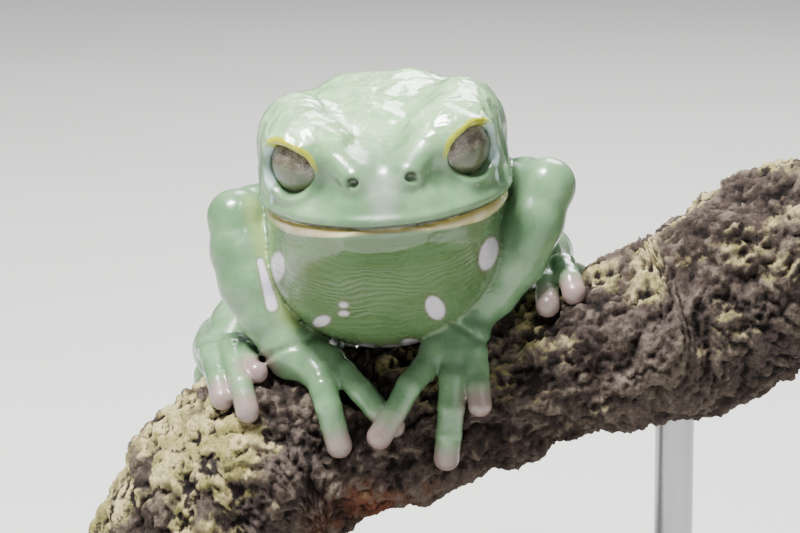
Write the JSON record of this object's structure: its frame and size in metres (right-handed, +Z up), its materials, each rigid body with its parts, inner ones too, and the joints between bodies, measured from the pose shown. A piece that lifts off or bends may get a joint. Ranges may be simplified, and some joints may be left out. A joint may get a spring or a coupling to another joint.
{
  "type": "waxy monkey tree frog, still life-size model on a perch",
  "caption": "Still life-size model of a green waxy monkey tree frog sitting on a short cut branch, held over a flat display base by slim rods.",
  "frame": {"origin": "on the underside of the display base, below the frog's midline", "axes": "+X to the frog's left, along the branch's rise; +Y from the snout to the rump; +Z up"},
  "size_m": [0.0916, 0.0771, 0.0754],
  "materials": {
    "skin": "gloss",
    "eye": "gloss",
    "bark": "rough",
    "stand": "satin",
    "stand_rod": "satin"
  },
  "bodies": {
    "root": {"head": "skin", "lower_jaw": "skin", "torso": "skin", "upper_arm_right": "skin", "forearm_right": "skin", "hand_right": "skin", "thigh_right": "skin", "shank_right": "skin", "foot_right": "skin", "finger_1_right": "skin", "finger_2_right": "skin", "finger_3_right": "skin", "finger_4_right": "skin", "toe_1_right": "skin", "toe_2_right": "skin", "toe_3_right": "skin", "toe_4_right": "skin", "toe_5_right": "skin", "upper_arm_left": "skin", "forearm_left": "skin", "hand_left": "skin", "thigh_left": "skin", "shank_left": "skin", "foot_left": "skin", "finger_1_left": "skin", "finger_2_left": "skin", "finger_3_left": "skin", "finger_4_left": "skin", "toe_1_left": "skin", "toe_2_left": "skin", "toe_3_left": "skin", "toe_4_left": "skin", "toe_5_left": "skin", "eye_right": "eye", "eye_left": "eye", "perch": "bark", "stand_base": "stand", "stand_rod_low": "stand_rod", "stand_rod_high": "stand_rod"}
  },
  "joints": []
}
